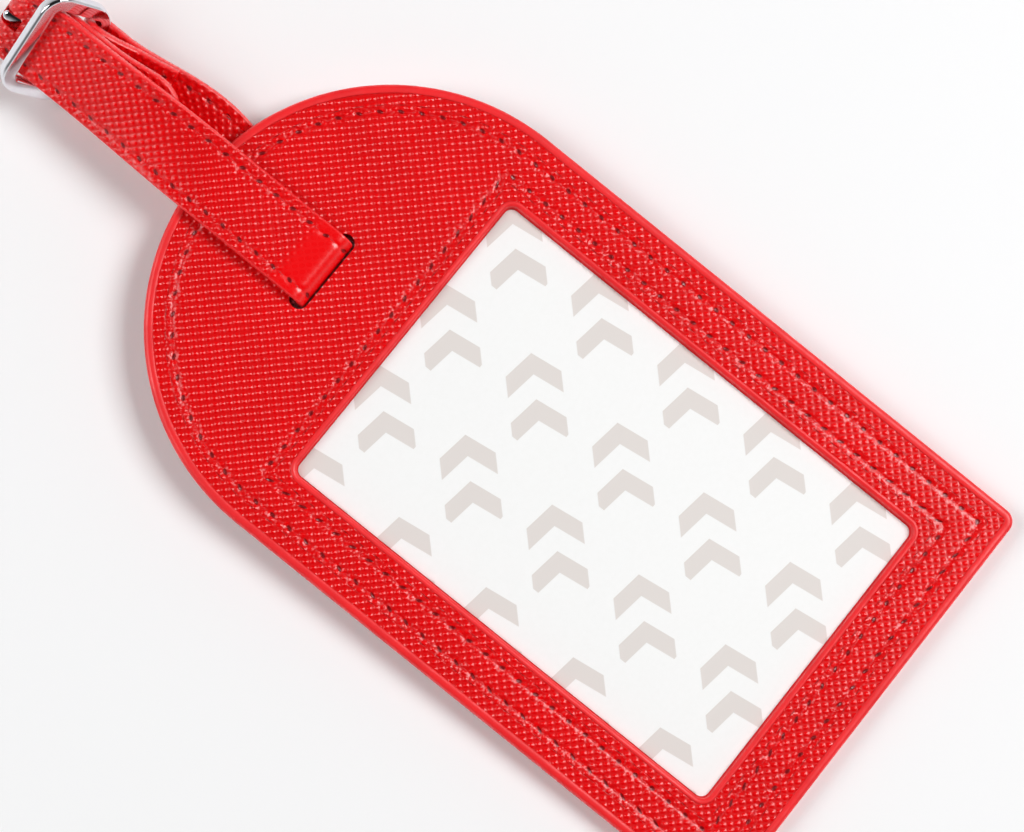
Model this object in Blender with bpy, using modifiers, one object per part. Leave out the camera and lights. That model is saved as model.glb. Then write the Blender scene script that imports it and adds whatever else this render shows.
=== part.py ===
"""Leather luggage tag: an arched, stitched body with a window, and a buckled strap looped through its slot.

X runs across the tag, Y runs along it towards the strap, and Z points out of the windowed face.
The origin is the middle of the flat back face. The strap is one path: its sewn fold round the heel bar
of the buckle, the rear leg, the turn through the slot, the front leg, the bend past the buckle, and the
free tail between the legs. Side-view heights are given as if the loop lay level. Then the loop is rolled
about its front leg, because it lies tipped on its side at the buckle.
"""

import math

import bmesh
import bpy
import numpy as np
from mathutils import Matrix

MM = 0.001

# Tag body
TAG_WIDTH = 70 * MM
TAG_LENGTH = 121 * MM
TAG_CORNER = 2 * MM
LEATHER = 0.9 * MM
BOARD = 0.5 * MM
GLUE = 0.05 * MM
EDGE_PAINT = 0.4 * MM
WINDOW_WIDTH = 49 * MM
WINDOW_TO_ARCH = 36.5 * MM
WINDOW_BORDER = 10.5 * MM
WINDOW_CORNER = 1.5 * MM
WINDOW_PAINT = 0.35 * MM
PAINT_BEVEL = 0.1 * MM
ADHESIVE = 0.15 * MM
LINER = 0.12 * MM
LINER_CLEARANCE = 0.25 * MM
SEAM_INSET = 4 * MM
WINDOW_SEAM_INSET = 3 * MM
SEAM_CORNER = 0.8 * MM
THREAD = 0.3 * MM
GROOVE_CLEARANCE = 0.05 * MM

# Strap
STRAP_WIDTH = 11.5 * MM
STRAP_LEATHER = 0.7 * MM
STRAP_SEAM_INSET = 1.7 * MM
SLOT_TO_ARCH = 22.4 * MM
SLOT_PLAY_ACROSS = 0.75 * MM
SLOT_PLAY_THROUGH = 0.67 * MM
BRIDGE_CLEARANCE = 0.5 * MM
SLOT_BEND = 1.6 * MM
FRONT_RISE = 1.7 * MM
FRONT_RISE_PAST_FLEX = 12 * MM
REAR_DROP = 1.3 * MM
REAR_DROP_BEFORE_ARCH = 3 * MM
REAR_SETTLES_BEFORE_HEEL = 3 * MM
REAR_SHIFT = 3.7 * MM
SHIFT_RUN_IN = 1 * MM
LAYER_CLEARANCE = 0.2 * MM
BEND_RADIUS = 1.6 * MM
FOLD_BACK = 13 * MM
FOLD_BACK_RISE = 7 * MM
TAIL_SHIFT = 1.3 * MM
TAIL_DROP = 0.35 * MM
TAIL_BEHIND_HEEL = 17.3 * MM
TAIL_STRAIGHT_BEFORE_HEEL = 4 * MM
TAIL_LEVEL_PAST_HEEL = 1.5 * MM
HOLE_IN_USE_PAST_HEEL = 3 * MM
HOLE_SPACING = 8 * MM
HOLE_WIDTH = 2.1 * MM
SPARE_HOLES = 2
FLEX_PAST_ARCH = 4.5 * MM
FLEX_GAP = 3.2 * MM
LOOP_ROLL = math.radians(32)
ROLL_STARTS_PAST_TURN = 8 * MM
ROLL_ENDS_BEFORE_HEEL = 1.5 * MM
LEG_STEP = 2 * MM
TAIL_STEP = 1.5 * MM
TIP_ANGLES = (25, 45, 60, 72, 82)

# Buckle
HEEL_PAST_ARCH = 23.5 * MM
HEEL_BAR = 1.6 * MM
HEEL_CLEARANCE = 0.3 * MM
FRAME_TILT = math.radians(50.4)
FRAME_THICKNESS = 1.7 * MM
FRAME_SIDE = 2.3 * MM
FRONT_BAR = 2.3 * MM
FRAME_CORNER = 3.6 * MM
FRAME_CHAMFER = 0.45 * MM
FRAME_PLAY = 0.5 * MM
FRONT_BAR_CLEARANCE = 0.2 * MM
PRONG_WIDTH = 1.5 * MM
PRONG_THICKNESS = 1 * MM
PRONG_LENGTH = 12.6 * MM
PRONG_RISE = math.radians(19)
PRONG_EYE_WALL = 0.7 * MM
EYE_CLEARANCE = 0.25 * MM
PRONG_CLEARANCE = 0.45 * MM
PASSAGE_START = 2.2 * MM
PASSAGE_PAST_TIP = 4 * MM
EYE_OPENING_BEHIND = 3.5 * MM
EYE_OPENING_AHEAD = 1.5 * MM

# Worked out from the sizes above
TAG_THICKNESS = 2 * LEATHER + 2 * BOARD + 3 * GLUE
ARCH_RADIUS = TAG_WIDTH / 2
TAG_END = TAG_LENGTH / 2
WINDOW_LOW = WINDOW_BORDER - TAG_END
WINDOW_LENGTH = TAG_LENGTH - WINDOW_BORDER - WINDOW_TO_ARCH
STRAP_THICKNESS = 2 * STRAP_LEATHER + GLUE
STRAP_SEAM = STRAP_WIDTH / 2 - STRAP_SEAM_INSET
SLOT_Y = TAG_END - SLOT_TO_ARCH
SLOT_WIDTH = STRAP_THICKNESS + 2 * SLOT_PLAY_THROUGH
SLOT_LENGTH = STRAP_WIDTH + 2 * SLOT_PLAY_ACROSS
HEEL_Y = TAG_END + HEEL_PAST_ARCH
FLEX_Y = TAG_END + FLEX_PAST_ARCH
FRONT_LEG_AT_SLOT = TAG_THICKNESS + BRIDGE_CLEARANCE + STRAP_THICKNESS / 2
REAR_LEG_AT_SLOT = -BRIDGE_CLEARANCE - STRAP_THICKNESS / 2
TURN_END_Y = SLOT_Y + SLOT_BEND
FRONT_LEG_AT_HEEL = FRONT_LEG_AT_SLOT + FRONT_RISE
HEEL_CORE = max(
    math.hypot(HEEL_BAR / 2, FRAME_THICKNESS / 2 - FRAME_CHAMFER),
    math.hypot(HEEL_BAR / 2 - FRAME_CHAMFER, FRAME_THICKNESS / 2),
)
FOLD_RADIUS = HEEL_CORE + HEEL_CLEARANCE + STRAP_THICKNESS / 2
TAIL_OVER_HEEL = FOLD_RADIUS + STRAP_THICKNESS + LAYER_CLEARANCE
FRONT_OVER_HEEL = TAIL_OVER_HEEL + STRAP_THICKNESS + LAYER_CLEARANCE
HEEL_Z = FRONT_LEG_AT_HEEL - FRONT_OVER_HEEL
FRONT_BAR_OVER_HEEL = FRONT_OVER_HEEL + STRAP_THICKNESS / 2 + FRONT_BAR_CLEARANCE + FRONT_BAR / 2
FRAME_REACH = FRONT_BAR_OVER_HEEL / math.sin(FRAME_TILT)
EYE_INNER = HEEL_CORE + EYE_CLEARANCE
EYE_OUTER = EYE_INNER + PRONG_EYE_WALL
ARM_OFFSET = EYE_OUTER - PRONG_THICKNESS / 2
BEND_Y = HEEL_Y + PRONG_LENGTH * math.cos(PRONG_RISE) - BEND_RADIUS - STRAP_THICKNESS / 2
ROLL_START = TURN_END_Y + ROLL_STARTS_PAST_TURN
ROLL_END = HEEL_Y - ROLL_ENDS_BEFORE_HEEL
TAIL_TIP_Y = HEEL_Y - TAIL_BEHIND_HEEL
DROP_END_Y = TAG_END - REAR_DROP_BEFORE_ARCH
SETTLE_Y = HEEL_Y - REAR_SETTLES_BEFORE_HEEL

RED_LEATHER = ((0.62, 0.005, 0.012), 0.35, 0.0)
RED_PAINT = ((0.68, 0.01, 0.02), 0.25, 0.0)
RED_THREAD = ((0.4, 0.004, 0.008), 0.6, 0.0)
GREY_BOARD = ((0.35, 0.33, 0.3), 0.9, 0.0)
CLEAR_GLUE = ((0.85, 0.84, 0.8), 0.3, 0.0)
WHITE_PAPER = ((0.93, 0.93, 0.92), 0.5, 0.0)
CHROME = ((0.8, 0.8, 0.84), 0.08, 1.0)


# ---------------------------------------------------------------- helpers


def clear_scene():
    for old in list(bpy.data.objects):
        bpy.data.objects.remove(old, do_unlink=True)


def collection(name):
    made = bpy.data.collections.new(name)
    bpy.context.scene.collection.children.link(made)
    return made


def material(name, look):
    """A Principled material of its own for one sub-part: (colour, roughness, metallic)."""
    made = bpy.data.materials.new(name)
    made.use_nodes = True
    shader = made.node_tree.nodes["Principled BSDF"]
    colour, roughness, metallic = look
    shader.inputs["Base Color"].default_value = (*colour, 1)
    shader.inputs["Roughness"].default_value = roughness
    shader.inputs["Metallic"].default_value = metallic
    made.diffuse_color = (*colour, 1)
    return made


def add_object(name, mesh, look, group):
    made = bpy.data.objects.new(name, mesh)
    group.objects.link(made)
    if look is not None:
        mesh.materials.append(material(name, look))
    return made


def as_cutter(obj):
    obj.hide_render = True
    obj.display_type = "WIRE"
    return obj


def cut(obj, cutter):
    modifier = obj.modifiers.new(f"cut_{cutter.name}", "BOOLEAN")
    modifier.operation = "DIFFERENCE"
    modifier.object = cutter


def arc(centre, radius, start, end, steps):
    """Points along an arc, angles in degrees, counted anticlockwise from the first axis."""
    angles = np.radians(np.linspace(start, end, steps + 1))
    return [(centre[0] + radius * math.cos(a), centre[1] + radius * math.sin(a)) for a in angles]


def ease(t):
    """Smooth step from 0 to 1, level at both ends."""
    t = min(max(t, 0.0), 1.0)
    return t * t * (3 - 2 * t)


def between(y, start, end):
    return ease((y - start) / (end - start))


# ---------------------------------------------------------------- flat pieces


def tag_outline(inset, corner):
    """The arched outline, moved inwards: two small corners at the bottom and a half circle on top."""
    half = ARCH_RADIUS - inset
    low = inset - TAG_END + corner
    right = arc((half - corner, low), corner, -90, 0, 4)
    left = arc((corner - half, low), corner, 180, 270, 4)
    return right + arc((0, TAG_END - ARCH_RADIUS), half, 0, 180, 36) + left


def window_outline(grow, corner):
    """The window's rounded rectangle, moved outwards."""
    half = WINDOW_WIDTH / 2 + grow
    low = WINDOW_LOW - grow + corner
    high = WINDOW_LOW + WINDOW_LENGTH + grow - corner
    points = []
    for x, y, start in ((1, low, -90), (1, high, 0), (-1, high, 90), (-1, low, 180)):
        points += arc((x * (half - corner), y), corner, start, start + 90, 4)
    return points


def slot_outline():
    """The strap slot: a stadium across the tag."""
    radius = SLOT_WIDTH / 2
    straight = SLOT_LENGTH / 2 - radius
    right = arc((straight, SLOT_Y), radius, -90, 90, 8)
    return right + arc((-straight, SLOT_Y), radius, 90, 270, 8)


def flat_solid(name, loops, low, high, look, group):
    """A plate between two heights: a filled 2D curve of closed outlines, extruded and made a mesh."""
    curve = bpy.data.curves.new(name, "CURVE")
    curve.dimensions = "2D"
    curve.fill_mode = "BOTH"
    curve.extrude = (high - low) / 2
    for loop in loops:
        spline = curve.splines.new("POLY")
        spline.points.add(len(loop) - 1)
        for point, (x, y) in zip(spline.points, loop):
            point.co = (x, y, 0, 1)
        spline.use_cyclic_u = True
    temporary = bpy.data.objects.new(name, curve)
    group.objects.link(temporary)
    mesh = welded_mesh(temporary, name)
    mesh.transform(Matrix.Translation((0, 0, (low + high) / 2)))
    return add_object(name, mesh, look, group)


def welded_mesh(obj, name):
    """A mesh of the evaluated curve with its loose caps welded on. The curve object is removed."""
    bpy.context.view_layer.update()
    evaluated = obj.evaluated_get(bpy.context.evaluated_depsgraph_get())
    mesh = bpy.data.meshes.new_from_object(evaluated)
    mesh.name = name
    bpy.data.objects.remove(obj, do_unlink=True)
    work = bmesh.new()
    work.from_mesh(mesh)
    bmesh.ops.remove_doubles(work, verts=work.verts, dist=0.001 * MM)
    bmesh.ops.recalc_face_normals(work, faces=work.faces)
    work.to_mesh(mesh)
    work.free()
    return mesh


def thread_tube(name, points, closed, group):
    """A sewing thread as a slim tube along its points."""
    curve = bpy.data.curves.new(name, "CURVE")
    curve.dimensions = "3D"
    curve.bevel_depth = THREAD / 2
    curve.bevel_resolution = 1
    curve.use_fill_caps = True
    spline = curve.splines.new("POLY")
    spline.points.add(len(points) - 1)
    for point, place in zip(spline.points, points):
        point.co = (*place, 1)
    spline.use_cyclic_u = closed
    temporary = bpy.data.objects.new(name, curve)
    group.objects.link(temporary)
    made = add_object(name, welded_mesh(temporary, name), RED_THREAD, group)
    made.data.shade_smooth()
    return made


def groove(name, outline, distance, low, high, group):
    """A channel cutter that follows an outline function at a distance, as wide as the thread and its room."""
    half = THREAD / 2 + GROOVE_CLEARANCE
    loops = [outline(distance - half, SEAM_CORNER), outline(distance + half, SEAM_CORNER)]
    return as_cutter(flat_solid(name, loops, low, high, None, group))


def make_tag(parts, cutters):
    """The sandwich of leather and board, its painted edges, its two seams, and what lies in the window."""
    inset = EDGE_PAINT + GLUE
    outline = tag_outline(inset, TAG_CORNER - inset)
    window = window_outline(WINDOW_PAINT + GLUE, WINDOW_CORNER + WINDOW_PAINT + GLUE)
    slot = slot_outline()
    board_low = LEATHER + GLUE
    frame_low = board_low + BOARD + GLUE
    face_low = frame_low + BOARD + GLUE

    back = flat_solid("back_panel", [outline, slot], 0, LEATHER, RED_LEATHER, parts)
    flat_solid("back_stiffener", [outline, slot], board_low, board_low + BOARD, GREY_BOARD, parts)
    flat_solid("front_stiffener", [outline, window, slot], frame_low, frame_low + BOARD, GREY_BOARD, parts)
    front = flat_solid("front_panel", [outline, window, slot], face_low, TAG_THICKNESS, RED_LEATHER, parts)

    rim = flat_solid(
        "outer_edge_paint",
        [tag_outline(0, TAG_CORNER), tag_outline(EDGE_PAINT, TAG_CORNER - EDGE_PAINT)],
        GLUE, TAG_THICKNESS - GLUE, RED_PAINT, parts,
    )
    window_rim = flat_solid(
        "window_edge_paint",
        [window_outline(0, WINDOW_CORNER), window_outline(WINDOW_PAINT, WINDOW_CORNER + WINDOW_PAINT)],
        frame_low, TAG_THICKNESS - GLUE, RED_PAINT, parts,
    )
    for ring in (rim, window_rim):
        bevel = ring.modifiers.new("rounded", "BEVEL")
        bevel.width = PAINT_BEVEL
        bevel.segments = 1

    card = window_outline(-LINER_CLEARANCE, WINDOW_CORNER - LINER_CLEARANCE)
    liner_low = frame_low + ADHESIVE + GLUE
    flat_solid("adhesive_sheet", [card], frame_low, frame_low + ADHESIVE, CLEAR_GLUE, parts)
    flat_solid("release_liner", [card], liner_low, liner_low + LINER, WHITE_PAPER, parts)

    depth = THREAD + 2 * GROOVE_CLEARANCE
    sink = THREAD / 2 + GROOVE_CLEARANCE
    seams = (("perimeter", tag_outline, SEAM_INSET), ("window", window_outline, WINDOW_SEAM_INSET))
    for seam, outline_of, distance in seams:
        low, high = TAG_THICKNESS - depth, TAG_THICKNESS + depth
        front_groove = groove(f"{seam}_front_groove", outline_of, distance, low, high, cutters)
        back_groove = groove(f"{seam}_back_groove", outline_of, distance, -depth, depth, cutters)
        cut(front, front_groove)
        cut(back, back_groove)
        loop = outline_of(distance, SEAM_CORNER)
        thread_tube(f"{seam}_needle_thread", [(x, y, TAG_THICKNESS - sink) for x, y in loop], True, parts)
        thread_tube(f"{seam}_bobbin_thread", [(x, y, sink) for x, y in loop], True, parts)


# ---------------------------------------------------------------- strap route


def front_height(y):
    """The front leg's middle line, rising from the slot towards the buckle."""
    return FRONT_LEG_AT_SLOT + FRONT_RISE * between(y, TURN_END_Y, FLEX_Y + FRONT_RISE_PAST_FLEX)


def rear_height(y):
    """The rear leg's middle line: it drops clear of the tag's back, then rises under the heel bar."""
    low = REAR_LEG_AT_SLOT - REAR_DROP
    down = REAR_LEG_AT_SLOT - REAR_DROP * between(y, TURN_END_Y, DROP_END_Y)
    return down + (HEEL_Z - FOLD_RADIUS - low) * between(y, DROP_END_Y, SETTLE_Y)


def rear_shift(y):
    """How far the rear leg lies to the side of the front leg."""
    away = between(y, TURN_END_Y + SHIFT_RUN_IN, TAG_END)
    return REAR_SHIFT * away * (1 - between(y, TAG_END + SHIFT_RUN_IN, SETTLE_Y))


def tail_height(y):
    """The free tail: over the heel bar's fold, lower in the bend, close under the front leg elsewhere."""
    under_leg = front_height(y) - (FRONT_OVER_HEEL - TAIL_OVER_HEEL)
    under_leg -= TAIL_DROP * (1 - between(y, TAIL_TIP_Y, HEEL_Y))
    bend_low = FRONT_LEG_AT_HEEL - 2 * BEND_RADIUS
    return under_leg + (bend_low - under_leg) * between(y, HEEL_Y + TAIL_LEVEL_PAST_HEEL, BEND_Y)


def tail_shift(y):
    """How far the free tail has slid to the side, most at its tip."""
    return TAIL_SHIFT * (1 - between(y, TAIL_TIP_Y, HEEL_Y - TAIL_STRAIGHT_BEFORE_HEEL))


def fold_back_height(y):
    """The sewn end of the strap: flat on the rear leg, then up over the heel bar."""
    on_leg = rear_height(y) + STRAP_THICKNESS + GLUE
    return on_leg + (HEEL_Z + FOLD_RADIUS - on_leg) * between(y, HEEL_Y - FOLD_BACK_RISE, HEEL_Y)


def roll_angle(y):
    return LOOP_ROLL * between(y, ROLL_START, ROLL_END)


def rolled(side, y, height):
    """A point of the level loop, turned about the front leg's middle line."""
    angle = roll_angle(y)
    middle = front_height(min(y, HEEL_Y))
    rise = height - middle
    x = side * math.cos(angle) - rise * math.sin(angle)
    z = middle + side * math.sin(angle) + rise * math.cos(angle)
    return np.array((x, y, z))


def stretch(start, end, step, height, shift):
    """Stations along a leg: (side, y, height) from one y to another."""
    count = max(2, round(abs(end - start) / step) + 1)
    return [(shift(y), y, height(y)) for y in np.linspace(start, end, count)]


def turn(centre, radius, start, end, steps):
    return [(0.0, y, z) for y, z in arc(centre, radius, start, end, steps)]


def no_shift(y):
    return 0.0


def rear_section():
    """Fold-back, fold round the heel bar, and rear leg up to the flex gap."""
    upper = stretch(HEEL_Y - FOLD_BACK, HEEL_Y, TAIL_STEP, fold_back_height, rear_shift)
    fold = turn((HEEL_Y, HEEL_Z), FOLD_RADIUS, 90, -90, 8)[1:]
    leg = stretch(HEEL_Y, FLEX_Y + FLEX_GAP / 2, LEG_STEP, rear_height, rear_shift)[1:]
    return upper + fold + leg


def root_section():
    """From the flex gap along the tag's back, up through the slot and out over the tag's face."""
    rear = stretch(FLEX_Y - FLEX_GAP / 2, TURN_END_Y, LEG_STEP, rear_height, rear_shift)
    lower = turn((TURN_END_Y, REAR_LEG_AT_SLOT + SLOT_BEND), SLOT_BEND, -90, -180, 5)[1:]
    upper = turn((TURN_END_Y, FRONT_LEG_AT_SLOT - SLOT_BEND), SLOT_BEND, 180, 90, 5)
    front = stretch(TURN_END_Y, FLEX_Y - FLEX_GAP / 2, LEG_STEP, front_height, no_shift)[1:]
    return rear + lower + upper + front


def front_section():
    """From the flex gap over the heel bar, round the bend and back to the tail's tip."""
    leg = stretch(FLEX_Y + FLEX_GAP / 2, BEND_Y, LEG_STEP, front_height, no_shift)
    bend = turn((BEND_Y, FRONT_LEG_AT_HEEL - BEND_RADIUS), BEND_RADIUS, 90, -90, 8)[1:]
    tail = stretch(BEND_Y, TAIL_TIP_Y + STRAP_WIDTH / 2, TAIL_STEP, tail_height, tail_shift)[1:]
    inset = STRAP_WIDTH / 2 * (1 - np.cos(np.radians(TIP_ANGLES)))
    rounded = [(tail_shift(y), y, tail_height(y)) for y in (TAIL_TIP_Y + inset)[::-1]]
    return leg + bend + tail + rounded


def stations(section):
    """Centre, width direction and outward normal at each point of a section."""
    centres = np.array([rolled(*point) for point in section])
    forward = np.gradient(centres, axis=0)
    forward /= np.linalg.norm(forward, axis=1)[:, None]
    angles = np.array([roll_angle(point[1]) for point in section])
    across = np.stack([np.cos(angles), np.zeros(len(angles)), np.sin(angles)], axis=1)
    across -= forward * np.sum(across * forward, axis=1)[:, None]
    across /= np.linalg.norm(across, axis=1)[:, None]
    return centres, across, np.cross(across, forward)


def half_widths(section, rounded_tip):
    """Half the strap's width at each station: constant, or closing in a half circle at the tail's tip."""
    full = STRAP_WIDTH / 2
    widths = np.full(len(section), full)
    if rounded_tip:
        for i in range(len(section) // 2, len(section)):
            short = max(0.0, full - (section[i][1] - TAIL_TIP_Y))
            widths[i] = math.sqrt(max(full**2 - short**2, (0.1 * full) ** 2))
    return widths


def ribbon(name, section, low, high, grooved, rounded_tip, group):
    """One leather layer of the strap: a four-sided or twice-grooved section lofted along the stations."""
    centres, across, normals = stations(section)
    widths = half_widths(section, rounded_tip)
    channel = THREAD / 2 + GROOVE_CLEARANCE
    work = bmesh.new()
    rings = []
    for centre, side, up, half in zip(centres, across, normals, widths):
        row = max(half - STRAP_SEAM_INSET, channel * 1.2)
        depth = min(2 * channel, max(0.0, half - 2 * STRAP_SEAM_INSET))
        outline = [(-half, low), (half, low), (half, high)]
        if grooved:
            for sign in (1, -1):
                first, last = sign * row + channel, sign * row - channel
                outline += [(first, high), (first, high - depth), (last, high - depth), (last, high)]
        outline.append((-half, high))
        rings.append([work.verts.new(centre + side * a + up * b) for a, b in outline])
    count = len(rings[0])
    for one, two in zip(rings, rings[1:]):
        for i in range(count):
            j = (i + 1) % count
            work.faces.new((one[i], one[j], two[j], two[i]))
    work.faces.new(rings[0][::-1])
    work.faces.new(rings[-1])
    bmesh.ops.remove_doubles(work, verts=work.verts, dist=0.002 * MM)
    bmesh.ops.triangulate(work, faces=work.faces)
    bmesh.ops.recalc_face_normals(work, faces=work.faces)
    mesh = bpy.data.meshes.new(name)
    work.to_mesh(mesh)
    work.free()
    return add_object(name, mesh, RED_LEATHER, group)


def seam_rows(name, section, end, group):
    """The two stitched rows of a strap section, sunk in the outer layer's grooves."""
    centres, across, normals = stations(section)
    depth = STRAP_THICKNESS / 2 - THREAD / 2 - GROOVE_CLEARANCE
    for label, sign in (("right", 1), ("left", -1)):
        path = (centres + across * sign * STRAP_SEAM + normals * depth)[:end]
        thread_tube(f"{name}_thread_{label}", path, False, group)


def strap_cutters(heel_axis, group):
    """The prong's way through the bend, the fold's opening for the prong's eye, and the spare holes."""
    end = PRONG_LENGTH + PASSAGE_PAST_TIP
    bpy.ops.mesh.primitive_cube_add(size=1)
    passage = bpy.context.object
    passage.name = "prong_passage"
    height = PRONG_THICKNESS + 2 * PRONG_CLEARANCE
    middle = (0, (PASSAGE_START + end) / 2, ARM_OFFSET)
    passage.data.transform(scaled(HOLE_WIDTH, end - PASSAGE_START, height, middle))

    bpy.ops.mesh.primitive_cube_add(size=1)
    opening = bpy.context.object
    opening.name = "eye_opening"
    reach = FOLD_RADIUS + STRAP_THICKNESS
    back, front = -EYE_OPENING_BEHIND, reach + EYE_OPENING_AHEAD
    width = PRONG_WIDTH + 2 * PRONG_CLEARANCE
    opening.data.transform(scaled(width, front - back, 2 * reach, (0, (back + front) / 2, 0)))

    for cutter in (passage, opening):
        cutter.parent = heel_axis
        for owner in list(cutter.users_collection):
            owner.objects.unlink(cutter)
        group.objects.link(as_cutter(cutter))
    passage.rotation_euler.x = PRONG_RISE
    return passage, opening


def scaled(x, y, z, place):
    return Matrix.Translation(place) @ Matrix.Diagonal((x, y, z, 1))


def spare_hole(index, group):
    """A punched round hole in the free tail, nearer its tip than the one in use."""
    y = HEEL_Y + HOLE_IN_USE_PAST_HEEL - (index + 1) * HOLE_SPACING
    bpy.ops.mesh.primitive_cylinder_add(vertices=12, radius=HOLE_WIDTH / 2, depth=2 * STRAP_THICKNESS)
    punch = bpy.context.object
    punch.name = f"spare_hole_{index + 1}"
    punch.location = rolled(tail_shift(y), y, tail_height(y))
    punch.rotation_euler.y = -roll_angle(y)
    for owner in list(punch.users_collection):
        owner.objects.unlink(punch)
    group.objects.link(as_cutter(punch))
    return punch


def make_strap(heel_axis, parts, cutters):
    """Three stretches of the same two-layer strap, parted where the loop flexes."""
    half = STRAP_THICKNESS / 2
    layers = (("outer", GLUE / 2, half, True), ("inner", -half, -GLUE / 2, False))
    root, front, rear = root_section(), front_section(), rear_section()
    sections = (("strap_root", root), ("strap_front", front), ("strap_rear", rear))
    passage, opening = strap_cutters(heel_axis, cutters)
    punches = [spare_hole(index, cutters) for index in range(SPARE_HOLES)]
    for name, section in sections:
        for layer, low, high, grooved in layers:
            made = ribbon(f"{name}_{layer}", section, low, high, grooved, name == "strap_front", parts)
            if name == "strap_front":
                for cutter in (passage, *punches):
                    cut(made, cutter)
            if name == "strap_rear":
                cut(made, opening)
    seam_rows("strap_root", root, None, parts)
    seam_rows("strap_front", front, -len(TIP_ANGLES), parts)
    seam_rows("strap_rear", rear, None, parts)


# ---------------------------------------------------------------- buckle


def buckle_outline(width, low, high, corner):
    """A rounded rectangle in the buckle's own plane, with the heel bar's middle line on the X axis."""
    half = width / 2
    points = []
    for x, y, start in ((1, low, -90), (1, high, 0), (-1, high, 90), (-1, low, 180)):
        centre = (x * (half - corner), y + corner if y == low else y - corner)
        points += arc(centre, corner, start, start + 90, 5)
    return points


def make_frame(heel_axis, parts):
    """The cast frame: heel bar, two side bars and front bar in one piece, chamfered all round."""
    inner_width = STRAP_WIDTH + 2 * FRAME_PLAY
    outer_width = inner_width + 2 * FRAME_SIDE
    outer = buckle_outline(outer_width, -HEEL_BAR / 2, FRAME_REACH + FRONT_BAR / 2, FRAME_CORNER)
    inner = buckle_outline(inner_width, HEEL_BAR / 2, FRAME_REACH - FRONT_BAR / 2, FRAME_CORNER / 5)
    frame = flat_solid(
        "buckle_frame", [outer, inner], -FRAME_THICKNESS / 2, FRAME_THICKNESS / 2, CHROME, parts
    )
    bevel = frame.modifiers.new("chamfer", "BEVEL")
    bevel.width = FRAME_CHAMFER
    bevel.segments = 1
    bevel.limit_method = "ANGLE"
    bevel.angle_limit = math.radians(60)
    frame.parent = heel_axis
    frame.rotation_euler.x = FRAME_TILT


def make_prong(heel_axis, parts):
    """The prong: an eye round the heel bar and a straight arm with a rounded tip, seen from the side."""
    half = PRONG_THICKNESS / 2
    reach = math.sqrt(EYE_OUTER**2 - (ARM_OFFSET - half) ** 2)
    foot = math.degrees(math.atan2(ARM_OFFSET - half, reach))
    tip = arc((PRONG_LENGTH - half, ARM_OFFSET), half, 90, -90, 6)
    eye = arc((0, 0), EYE_OUTER, foot, -270, 20)
    bore = arc((0, 0), EYE_INNER, 0, 360, 16)[:-1]
    prong = flat_solid("buckle_prong", [tip + eye, bore], -PRONG_WIDTH / 2, PRONG_WIDTH / 2, CHROME, parts)
    # The outline is drawn with its first axis along the arm. Here it is turned into the side view.
    prong.data.transform(Matrix(((0, 0, 1, 0), (1, 0, 0, 0), (0, 1, 0, 0), (0, 0, 0, 1))))
    prong.parent = heel_axis
    prong.rotation_euler.x = PRONG_RISE


clear_scene()
parts = collection("luggage_tag")
cutters = collection("cutters")

heel_axis = bpy.data.objects.new("heel_axis", None)
heel_axis.location = rolled(0, HEEL_Y, HEEL_Z)
heel_axis.rotation_euler.y = -LOOP_ROLL
parts.objects.link(heel_axis)

make_tag(parts, cutters)
make_strap(heel_axis, parts, cutters)
make_frame(heel_axis, parts)
make_prong(heel_axis, parts)
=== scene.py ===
"""Looks of the luggage tag: cross-grain leather, sunk stitching, painted edges, chrome and a paper liner.

Lengths are in metres, in the CAD model's frame: X across the tag, Y towards the strap, Z out of the face.
"""

import math

import bmesh
import bpy
import numpy as np
from mathutils import Matrix, Vector


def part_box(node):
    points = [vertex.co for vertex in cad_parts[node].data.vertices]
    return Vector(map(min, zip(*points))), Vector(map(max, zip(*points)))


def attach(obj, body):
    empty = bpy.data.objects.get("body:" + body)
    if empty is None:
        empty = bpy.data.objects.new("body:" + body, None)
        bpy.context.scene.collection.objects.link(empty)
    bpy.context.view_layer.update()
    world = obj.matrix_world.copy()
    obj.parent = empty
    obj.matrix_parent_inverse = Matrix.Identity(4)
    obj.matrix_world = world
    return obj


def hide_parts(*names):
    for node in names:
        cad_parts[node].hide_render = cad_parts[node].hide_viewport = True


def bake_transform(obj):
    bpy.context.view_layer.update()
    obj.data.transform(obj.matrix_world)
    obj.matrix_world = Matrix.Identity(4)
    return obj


MM = 0.001

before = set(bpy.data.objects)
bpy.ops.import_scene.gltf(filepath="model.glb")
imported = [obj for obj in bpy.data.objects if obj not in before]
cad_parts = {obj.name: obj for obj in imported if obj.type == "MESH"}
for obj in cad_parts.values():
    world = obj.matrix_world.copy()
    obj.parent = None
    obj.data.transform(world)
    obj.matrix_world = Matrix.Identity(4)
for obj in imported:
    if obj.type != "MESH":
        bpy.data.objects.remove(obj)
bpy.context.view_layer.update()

# ---------------- sizes shared with the CAD model

outer_low, outer_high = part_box("outer_edge_paint")
TAG_WIDTH = outer_high[0] - outer_low[0]
TAG_LENGTH = outer_high[1] - outer_low[1]
TAG_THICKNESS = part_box("front_panel")[1][2]
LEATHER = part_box("back_panel")[1][2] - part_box("back_panel")[0][2]
WALL_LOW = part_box("window_edge_paint")[0][2]
LINER_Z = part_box("release_liner")[1][2]
TAG_CORNER = 2 * MM
WINDOW_WIDTH = 49 * MM
WINDOW_LENGTH = 74 * MM
WINDOW_BORDER = 10.5 * MM
WINDOW_CORNER = 1.5 * MM
SEAM_INSET = 4 * MM
WINDOW_SEAM_INSET = 3 * MM
SEAM_CORNER = 0.8 * MM
EDGE_PAINT = 0.45 * MM
WINDOW_PAINT = 0.4 * MM
STITCH = 3 * MM
THREAD_RADIUS = 0.19 * MM

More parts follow.
